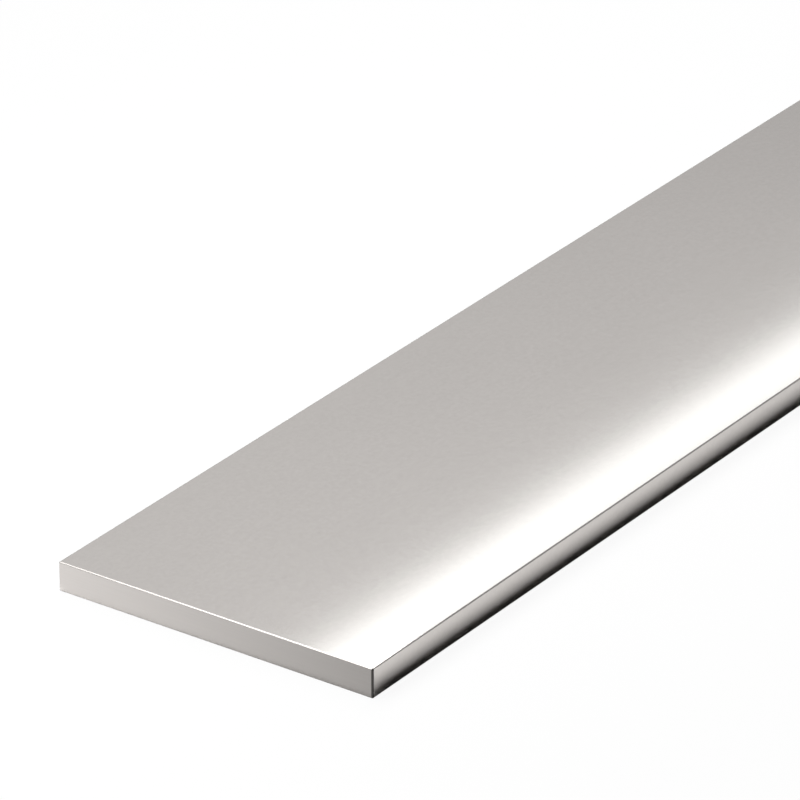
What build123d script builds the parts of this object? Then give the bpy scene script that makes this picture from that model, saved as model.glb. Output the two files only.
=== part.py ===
from build123d import *

import os

# Bright stainless flat bar: one rectangular bar, drawn to its section, sawn to length and dressed.
#
# It lies on its wide face. X runs along the bar, Y across it and Z through its thickness. The
# origin is the middle of the face that it lies on. All sizes are in millimetres.

# The drawn section
width = 70.0
thickness = 6.0
arris_radius = 0.3  # left along the four long arrises by the corners of the die

# The cut piece
length = 1000.0
deburr_radius = 0.3  # dressed on all round each sawn end

with BuildPart() as flat_bar:
    # The section stands on the bed at one end, square across the bar, with its corners rounded.
    with BuildSketch(Plane.YZ.offset(-length / 2)) as section:
        Rectangle(width, thickness, align=(Align.CENTER, Align.MIN))
        fillet(section.vertices(), radius=arris_radius)
    extrude(amount=length)

    # Both ends are sawn square, and the loop of edges round each of them is dressed.
    sawn_ends = flat_bar.faces().filter_by(Axis.X)
    fillet(sawn_ends.edges(), radius=deburr_radius)

flat_bar.part.label = "flat_bar"

os.makedirs("parts", exist_ok=True)
export_step(flat_bar.part, "parts/flat_bar.step")
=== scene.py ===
import math

import bpy
from mathutils import Matrix, Vector


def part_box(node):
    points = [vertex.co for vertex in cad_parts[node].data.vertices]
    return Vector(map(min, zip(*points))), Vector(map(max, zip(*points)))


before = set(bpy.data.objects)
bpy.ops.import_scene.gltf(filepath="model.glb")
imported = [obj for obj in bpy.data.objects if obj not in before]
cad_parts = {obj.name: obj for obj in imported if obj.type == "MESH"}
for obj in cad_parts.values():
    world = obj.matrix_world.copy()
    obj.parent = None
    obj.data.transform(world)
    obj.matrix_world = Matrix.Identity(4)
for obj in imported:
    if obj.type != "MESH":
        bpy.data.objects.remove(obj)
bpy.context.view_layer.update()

# A bright stainless flat bar, drawn, sawn to length and dressed, lying on a pale studio floor.
# X runs along the bar, Y across it and Z up through its thickness. All sizes are in metres.

BAR_LOW, BAR_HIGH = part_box("flat_bar")
BAR_LENGTH, BAR_WIDTH, BAR_THICKNESS = BAR_HIGH - BAR_LOW
BAR_MIDDLE = (BAR_LOW + BAR_HIGH) / 2
ALONG_BAR = Vector((1, 0, 0))

# How far in from the outside of every edge its dressing, rubbing and painted corner shade reach: over
# the whole rounding that the die and the file leave there, and just past it
EDGE_REACH = 0.00036

# Drawn faces: a fine satin grain, the die's lines along the bar and faint patches from handling
STEEL_COLOUR = (0.611, 0.580, 0.557)
STEEL_ROUGHNESS = 0.089
GRAIN_SIZE = 0.0008
GRAIN_SHADE = 0.027
GRAIN_ROUGHNESS = 0.003
DIE_LINE_LENGTH = 0.060
DIE_LINE_WIDTH = 0.0004
DIE_LINE_SHADE = 0.008
DIE_LINE_ROUGHNESS = 0.002
DIE_LINE_HEIGHT = 0.00000001
PATCH_LENGTH = 0.030
PATCH_WIDTH = 0.015
PATCH_SHADE = 0.008
PATCH_ROUGHNESS = 0.003

# Sawn ends: duller, with the blade's marks across them, and painted shade: darker at the front edge,
# paler towards the back
SAWN_TONE_AND_PAINTED_SHADE_FRONT = 0.563
SAWN_TONE_AND_PAINTED_SHADE_BACK = 1.112
SAWN_ROUGHNESS = 0.28
SAW_MARK_LENGTH = 0.012
SAW_MARK_WIDTH = 0.00012
SAW_MARK_SHADE = 0.02
SAW_MARK_HEIGHT = 0.00000015

# Edges: dressed all round the sawn ends, rubbed in places along every arris, and painted dark at the
# front corners of the ends with painted shade that stands in for a dark reflection there
DRESSED_TONE = 0.55
DRESSED_ROUGHNESS = 0.30
RUB_LENGTH = 0.004
RUB_ROUGHNESS = 0.05
PAINTED_CORNER_SHADE_FRONT = 0.18
PAINTED_CORNER_SHADE_BACK = 1.0

# How the masks and marks run: how fast each mask is whole within the reach of an edge, how far
# the noise of the marks goes to either side of its middle, and which marks count as a rub
SAWN_EDGE_SHARPNESS = 6.0
DRESSED_SHARPNESS = 4.0
ARRIS_SHARPNESS = 4.0
CORNER_SHARPNESS = 12.0
MARK_DETAIL = 3.0
MARK_MIDDLE = 0.5
MARK_SPREAD = 0.25
RUB_START = -0.4
RUB_WHOLE = 0.8

# Camera: a long lens that looks down along the bar from beyond its near end
CAMERA_PLACE = Vector((-1.3413, -0.6361, 0.5771))
CAMERA_AZIMUTH = math.radians(-54.72)
CAMERA_ELEVATION = math.radians(26.6133)
CAMERA_LENS = 301.84
SENSOR_WIDTH = 36.0
CAMERA_NEAR = 0.05
CAMERA_FAR = 200.0

# Long softboxes over the back edge of the bar, at one reach from the line where the lowest of
# them is mirrored in the top face. Angles are from level, as seen from that line across the bar.
# The strip, of slightly cool light, draws the white band along the top face. The keys above it
# light the floor. The gap between strip and keys, and the one between the two keys, keep the
# front arris dark.
MIRROR_LINE = -0.02375
SOFTBOX_REACH = 0.36
SOFTBOX_END = 1.4
STRIP_LOW_ANGLE = 43.06
STRIP_HIGH_ANGLE = 44.9
STRIP_RADIANCE = 1.87
STRIP_COLOUR = (0.94, 0.99, 1.0)
STRIP_LOW_EDGE = 0.79
KEY_LOW_ANGLE = 48.5
KEY_HIGH_ANGLE = 81.2
KEY_RADIANCE = 5.40
KEY_FALL = 0.25
KEY_GAP = 0.13

# Studio walls: the tone at each of the heights, where a height is the sine of the angle above level.
# The band of lighter wall is mirrored along the middle of the top face.
HORIZON_TONE = 0.66
LOW_WALL_TONE = 0.48
BAND_START_TONE = 0.731
BAND_TONE = 0.86
HIGH_WALL_TONE = 0.57
WALL_HEIGHTS = (0.25, 0.375, 0.425, 0.475, 0.49, 0.56)
# In front of the bar they are darker, most of all high up
FRONT_WALL_TONE = 0.42
FRONT_WALL_START = 0.3
FRONT_WALL_WHOLE = -0.5
FRONT_WALL_LOW = 0.20
FRONT_WALL_HIGH = 0.45
FRONT_WALL_LOW_SHARE = 0.1
# What is left of their light once it has been over the floor, so that the contact stays dark
WALL_FILL = 0.002

# Floor: pairs of values near the bar and far from it. The share of its own white, seen straight
# and mirrored in the steel, rises with the distance from the bar.
FLOOR_SIZE = 45.0
FLOOR_COLOUR = 0.9
SEEN_WHITE = (0.94, 1.0)
SEEN_DISTANCE = (0.06, 0.40)
MIRRORED_WHITE = (0.0, 0.8)
MIRRORED_DISTANCE = (0.02, 0.25)
END_WHITE = (0.0, 1.0)
END_DISTANCE = (0.0005, 0.0015)


# ---- Nodes ----

def add(tree, kind, **settings):
    made = tree.nodes.new(kind)
    for name, value in settings.items():
        setattr(made, name, value)
    return made


def feed(tree, socket, source):
    if isinstance(source, bpy.types.NodeSocket):
        tree.links.new(source, socket)
    else:
        socket.default_value = source


def calculate(tree, operation, *operands, clamp=False):
    step = add(tree, "ShaderNodeMath", operation=operation, use_clamp=clamp)
    for socket, operand in zip(step.inputs, operands):
        feed(tree, socket, operand)
    return step.outputs["Value"]


def total(tree, operation, *values):
    result = values[0]
    for value in values[1:]:
        result = calculate(tree, operation, result, value)
    return result


def remap(tree, value, start, stop, at_start, at_stop):
    step = add(tree, "ShaderNodeMapRange")
    feed(tree, step.inputs["Value"], value)
    feed(tree, step.inputs["From Min"], start)
    feed(tree, step.inputs["From Max"], stop)
    feed(tree, step.inputs["To Min"], at_start)
    feed(tree, step.inputs["To Max"], at_stop)
    return step.outputs["Result"]


def object_axes(tree):
    place = add(tree, "ShaderNodeTexCoord")
    axes = add(tree, "ShaderNodeSeparateXYZ")
    tree.links.new(place.outputs["Object"], axes.inputs["Vector"])
    return axes.outputs["X"], axes.outputs["Y"], axes.outputs["Z"]


def tone_ramp(tree, value, stops):
    ramp = add(tree, "ShaderNodeValToRGB")
    while len(ramp.color_ramp.elements) < len(stops):
        ramp.color_ramp.elements.new(1.0)
    for element, (place, tone) in zip(ramp.color_ramp.elements, stops):
        element.position = place
        element.color = (tone, tone, tone, 1)
    tree.links.new(value, ramp.inputs["Fac"])
    return ramp.outputs["Color"]


def new_group(name, inputs, outputs):
    tree = bpy.data.node_groups.new(name, "ShaderNodeTree")
    for label in inputs:
        tree.interface.new_socket(label, in_out="INPUT", socket_type="NodeSocketFloat")
    for label in outputs:
        tree.interface.new_socket(label, in_out="OUTPUT", socket_type="NodeSocketFloat")
    return tree, add(tree, "NodeGroupInput").outputs, add(tree, "NodeGroupOutput").inputs


def use_group(tree, group, **values):
    placed = add(tree, "ShaderNodeGroup", node_tree=group)
    for name, value in values.items():
        feed(tree, placed.inputs[name.replace("_", " ")], value)
    return placed.outputs


# ---- Effects ----

def bar_zones_group():
    """Masks from the place on the bar: its sawn ends, the dressed edges round them, every arris,
    and the upright arrises at the corners alone."""
    tree, given, made = new_group(
        "bar_zones",
        ("Half Length", "Half Width", "Half Thickness", "Middle Height", "Edge Reach"),
        ("Sawn End", "Dressed Edge", "Arris", "Corner"))
    x, y, z = object_axes(tree)
    height = calculate(tree, "SUBTRACT", z, given["Middle Height"])

    def into_edge(axis, half):
        """0 up to where the edge's reach starts, and 1 at the outermost face along that axis."""
        start = calculate(tree, "SUBTRACT", given[half], given["Edge Reach"])
        past = calculate(tree, "SUBTRACT", calculate(tree, "ABSOLUTE", axis), start)
        return calculate(tree, "DIVIDE", past, given["Edge Reach"], clamp=True)

    end = into_edge(x, "Half Length")
    side = into_edge(y, "Half Width")
    face = into_edge(height, "Half Thickness")
    upright = calculate(tree, "MULTIPLY", end, side)
    side_edge = calculate(tree, "MULTIPLY", side, face)
    end_edge = calculate(tree, "MULTIPLY", end, face)
    arris = total(tree, "MAXIMUM", upright, side_edge, end_edge)
    feed(tree, made["Sawn End"], calculate(tree, "POWER", end, SAWN_EDGE_SHARPNESS))
    feed(tree, made["Dressed Edge"], calculate(tree, "MULTIPLY", end, DRESSED_SHARPNESS, clamp=True))
    feed(tree, made["Arris"], calculate(tree, "MULTIPLY", arris, ARRIS_SHARPNESS, clamp=True))
    feed(tree, made["Corner"], calculate(tree, "MULTIPLY", upright, CORNER_SHARPNESS, clamp=True))
    return tree


def fine_marks_group():
    """Marks from -1 to 1 about their middle, drawn out along the axes with the longer sizes."""
    tree, given, made = new_group("fine_marks", ("Size X", "Size Y", "Size Z"), ("Marks",))
    sizes = add(tree, "ShaderNodeCombineXYZ")
    for axis in "XYZ":
        tree.links.new(given["Size " + axis], sizes.inputs[axis])
    place = add(tree, "ShaderNodeTexCoord")
    scaled = add(tree, "ShaderNodeVectorMath", operation="DIVIDE")
    tree.links.new(place.outputs["Object"], scaled.inputs[0])
    tree.links.new(sizes.outputs["Vector"], scaled.inputs[1])
    noise = add(tree, "ShaderNodeTexNoise", noise_dimensions="3D")
    noise.inputs["Scale"].default_value = 1.0
    noise.inputs["Detail"].default_value = MARK_DETAIL
    tree.links.new(scaled.outputs["Vector"], noise.inputs["Vector"])
    marks = remap(
        tree, noise.outputs["Fac"], MARK_MIDDLE - MARK_SPREAD, MARK_MIDDLE + MARK_SPREAD, -1.0, 1.0)
    feed(tree, made["Marks"], marks)
    return tree


# ---- Materials ----

def bright_stainless():
    material = bpy.data.materials.new("bright_stainless")
    material.use_nodes = True
    tree = material.node_tree
    steel = tree.nodes["Principled BSDF"]
    steel.inputs["Metallic"].default_value = 1.0

    zones = use_group(
        tree, bar_zones_group(), Half_Length=BAR_LENGTH / 2, Half_Width=BAR_WIDTH / 2,
        Half_Thickness=BAR_THICKNESS / 2, Middle_Height=BAR_MIDDLE.z, Edge_Reach=EDGE_REACH)
    sawn_end = zones["Sawn End"]
    fine_marks = fine_marks_group()

    def marks(length, width, height):
        return use_group(tree, fine_marks, Size_X=length, Size_Y=width, Size_Z=height)["Marks"]

    def shade(mark, amount):
        return calculate(tree, "MULTIPLY_ADD", mark, amount, 1.0)

    grain = marks(GRAIN_SIZE, GRAIN_SIZE, GRAIN_SIZE)
    die_lines = marks(DIE_LINE_LENGTH, DIE_LINE_WIDTH, DIE_LINE_WIDTH)
    patches = marks(PATCH_LENGTH, PATCH_WIDTH, PATCH_WIDTH)
    saw_marks = marks(SAW_MARK_LENGTH, SAW_MARK_LENGTH, SAW_MARK_WIDTH)
    rubs = marks(RUB_LENGTH, RUB_LENGTH, RUB_LENGTH)

    # Colour: the steel's own, times the tone of each zone and the shade of each kind of mark
    y = object_axes(tree)[1]
    # The sawn ends' tone is their duller finish plus painted shade, darker at the front edge and paler
    # at the back
    sawn_tone_and_painted_shade = remap(tree, y, BAR_LOW.y, BAR_HIGH.y, SAWN_TONE_AND_PAINTED_SHADE_FRONT, SAWN_TONE_AND_PAINTED_SHADE_BACK)
    # Painted shade on the upright corners, darkest at the front edge, in place of the dark reflection
    # they mirror
    painted_corner_shade = remap(tree, y, BAR_LOW.y, BAR_HIGH.y, PAINTED_CORNER_SHADE_FRONT, PAINTED_CORNER_SHADE_BACK)
    drawn = total(
        tree, "MULTIPLY", shade(grain, GRAIN_SHADE), shade(die_lines, DIE_LINE_SHADE),
        remap(tree, zones["Dressed Edge"], 0.0, 1.0, 1.0, DRESSED_TONE))
    sawn = calculate(tree, "MULTIPLY", sawn_tone_and_painted_shade, shade(saw_marks, SAW_MARK_SHADE))
    tone = total(
        tree, "MULTIPLY", remap(tree, sawn_end, 0.0, 1.0, drawn, sawn), shade(patches, PATCH_SHADE),
        remap(tree, zones["Corner"], 0.0, 1.0, 1.0, painted_corner_shade))
    colour = add(tree, "ShaderNodeVectorMath", operation="SCALE")
    colour.inputs[0].default_value = STEEL_COLOUR
    tree.links.new(tone, colour.inputs["Scale"])
    tree.links.new(colour.outputs["Vector"], steel.inputs["Base Color"])

    # Roughness: satin on the drawn faces, duller on the sawn ends and where the arrises are rubbed
    dressed = remap(tree, zones["Dressed Edge"], 0.0, 1.0, STEEL_ROUGHNESS, DRESSED_ROUGHNESS)
    rubbed = remap(tree, rubs, RUB_START, RUB_WHOLE, 0.0, RUB_ROUGHNESS)
    roughness = total(
        tree, "ADD", remap(tree, sawn_end, 0.0, 1.0, dressed, SAWN_ROUGHNESS),
        calculate(tree, "MULTIPLY", grain, GRAIN_ROUGHNESS),
        calculate(tree, "MULTIPLY", die_lines, DIE_LINE_ROUGHNESS),
        calculate(tree, "MULTIPLY", patches, PATCH_ROUGHNESS),
        calculate(tree, "MULTIPLY", zones["Arris"], rubbed))
    tree.links.new(roughness, steel.inputs["Roughness"])

    # Relief: the die's lines on the drawn faces and the blade's marks on the sawn ends
    die_relief = calculate(tree, "MULTIPLY", die_lines, DIE_LINE_HEIGHT)
    saw_relief = calculate(tree, "MULTIPLY", saw_marks, SAW_MARK_HEIGHT)
    relief = add(tree, "ShaderNodeBump")
    relief.inputs["Distance"].default_value = 1.0
    feed(tree, relief.inputs["Height"], remap(tree, sawn_end, 0.0, 1.0, die_relief, saw_relief))
    tree.links.new(relief.outputs["Normal"], steel.inputs["Normal"])
    return material


def pale_floor():
    """A pale matt floor. Seen straight it is white with a faint shadow. The steel mirrors its
    whole shadow beside the bar, and more and more of its white further off and past the ends."""
    material = bpy.data.materials.new("pale_floor")
    material.use_nodes = True
    tree = material.node_tree
    tree.nodes.clear()
    matt = add(tree, "ShaderNodeBsdfDiffuse")
    matt.inputs["Color"].default_value = (FLOOR_COLOUR, FLOOR_COLOUR, FLOOR_COLOUR, 1)
    white = add(tree, "ShaderNodeEmission")
    white.inputs["Strength"].default_value = 1.0

    x, y = object_axes(tree)[:2]
    past_end = calculate(tree, "SUBTRACT", calculate(tree, "ABSOLUTE", x), BAR_LENGTH / 2)
    beside = calculate(tree, "SUBTRACT", calculate(tree, "ABSOLUTE", y), BAR_WIDTH / 2)
    away = calculate(tree, "MAXIMUM", past_end, beside)
    ray = add(tree, "ShaderNodeLightPath").outputs
    seen = calculate(
        tree, "MULTIPLY", ray["Is Camera Ray"], remap(tree, away, *SEEN_DISTANCE, *SEEN_WHITE))
    mirror = calculate(tree, "ADD", ray["Is Glossy Ray"], ray["Is Transmission Ray"], clamp=True)
    mirrored = calculate(
        tree, "MAXIMUM", remap(tree, away, *MIRRORED_DISTANCE, *MIRRORED_WHITE),
        remap(tree, past_end, *END_DISTANCE, *END_WHITE))
    share = calculate(tree, "MULTIPLY_ADD", mirror, mirrored, seen)

    mix = add(tree, "ShaderNodeMixShader")
    tree.links.new(share, mix.inputs["Fac"])
    tree.links.new(matt.outputs["BSDF"], mix.inputs[1])
    tree.links.new(white.outputs["Emission"], mix.inputs[2])
    out = add(tree, "ShaderNodeOutputMaterial")
    tree.links.new(mix.outputs["Shader"], out.inputs["Surface"])
    return material


# ---- Studio ----

def studio_floor():
    mesh = bpy.data.meshes.new("floor")
    reach = FLOOR_SIZE
    corners = [(-reach, -reach, 0), (reach, -reach, 0), (reach, reach, 0), (-reach, reach, 0)]
    mesh.from_pydata(corners, [], [(0, 1, 2, 3)])
    mesh.materials.append(pale_floor())
    floor = bpy.data.objects.new("floor", mesh)
    bpy.context.scene.collection.objects.link(floor)


def studio_walls():
    world = bpy.data.worlds.new("studio_walls")
    bpy.context.scene.world = world
    world.use_nodes = True
    tree = world.node_tree
    walls = tree.nodes["Background"]
    walls.inputs["Color"].default_value = (1, 1, 1, 1)
    place = add(tree, "ShaderNodeTexCoord")
    axes = add(tree, "ShaderNodeSeparateXYZ")
    tree.links.new(place.outputs["Generated"], axes.inputs["Vector"])
    y, z = axes.outputs["Y"], axes.outputs["Z"]

    tones = (HORIZON_TONE, LOW_WALL_TONE, BAND_START_TONE, BAND_TONE, BAND_TONE, HIGH_WALL_TONE)
    tone = tone_ramp(tree, z, tuple(zip(WALL_HEIGHTS, tones)))
    in_front = remap(tree, y, FRONT_WALL_START, FRONT_WALL_WHOLE, 0.0, 1.0)
    high = remap(tree, z, FRONT_WALL_LOW, FRONT_WALL_HIGH, FRONT_WALL_LOW_SHARE, 1.0)
    front_share = calculate(tree, "MULTIPLY", in_front, high)
    front_tone = remap(tree, front_share, 0.0, 1.0, 1.0, FRONT_WALL_TONE)
    ray = add(tree, "ShaderNodeLightPath").outputs
    fill = remap(tree, ray["Diffuse Depth"], 0.0, 1.0, 1.0, WALL_FILL)
    light = total(tree, "MULTIPLY", tone, front_tone, fill)
    feed(tree, walls.inputs["Strength"], calculate(tree, "MAXIMUM", light, ray["Is Camera Ray"]))


def softbox(name, middle, facing, length, width, radiance):
    lamp = bpy.data.lights.new(name, "AREA")
    lamp.shape = "RECTANGLE"
    lamp.size = length
    lamp.size_y = width
    lamp.energy = radiance * math.pi * length * width
    back = -facing.normalized()
    turn = Matrix((ALONG_BAR, back.cross(ALONG_BAR), back)).transposed().to_4x4()
    stand = bpy.data.objects.new(name, lamp)
    stand.matrix_world = Matrix.Translation(middle) @ turn
    stand.visible_camera = False
    bpy.context.scene.collection.objects.link(stand)
    return lamp


def grade(lamp, stops):
    """The lamp's strength across its width, from its upper edge to its lower one."""
    lamp.use_nodes = True
    tree = lamp.node_tree
    place = add(tree, "ShaderNodeNewGeometry")
    axes = add(tree, "ShaderNodeSeparateXYZ")
    tree.links.new(place.outputs["Parametric"], axes.inputs["Vector"])
    feed(tree, tree.nodes["Emission"].inputs["Strength"], tone_ramp(tree, axes.outputs["Y"], stops))


def over_bar(angle):
    across = MIRROR_LINE + SOFTBOX_REACH * math.cos(math.radians(angle))
    return Vector((0, across, BAR_THICKNESS + SOFTBOX_REACH * math.sin(math.radians(angle))))


def long_softbox(name, low_angle, high_angle, start, stop, radiance, stops):
    """A softbox that spans the two angles across the bar and runs along it from start to stop."""
    low, high = over_bar(low_angle), over_bar(high_angle)
    middle = (low + high) / 2 + (start + stop) / 2 * ALONG_BAR
    facing = ALONG_BAR.cross(high - low)
    lamp = softbox(name, middle, facing, stop - start, (high - low).length, radiance)
    grade(lamp, stops)
    return lamp


def studio_lamps():
    strip = long_softbox(
        "strip", STRIP_LOW_ANGLE, STRIP_HIGH_ANGLE, -SOFTBOX_END, SOFTBOX_END, STRIP_RADIANCE,
        ((0.0, 1.0), (1.0, STRIP_LOW_EDGE)))
    strip.color = STRIP_COLOUR
    for name, start, stop in (("near_key", -SOFTBOX_END, -KEY_GAP), ("far_key", KEY_GAP, SOFTBOX_END)):
        long_softbox(
            name, KEY_LOW_ANGLE, KEY_HIGH_ANGLE, start, stop, KEY_RADIANCE,
            ((0.0, 0.0), (KEY_FALL, 1.0), (1.0, 1.0)))


def studio_camera():
    lens = bpy.data.cameras.new("camera")
    lens.lens = CAMERA_LENS
    lens.sensor_width = SENSOR_WIDTH
    lens.clip_start = CAMERA_NEAR
    lens.clip_end = CAMERA_FAR
    stand = bpy.data.objects.new("camera", lens)
    stand.location = CAMERA_PLACE
    stand.rotation_euler = (math.pi / 2 - CAMERA_ELEVATION, 0, CAMERA_AZIMUTH)
    bpy.context.scene.collection.objects.link(stand)
    bpy.context.scene.camera = stand


bpy.context.scene.view_settings.view_transform = "Standard"
studio_camera()
studio_floor()
studio_walls()
studio_lamps()
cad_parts["flat_bar"].data.materials[0] = bright_stainless()
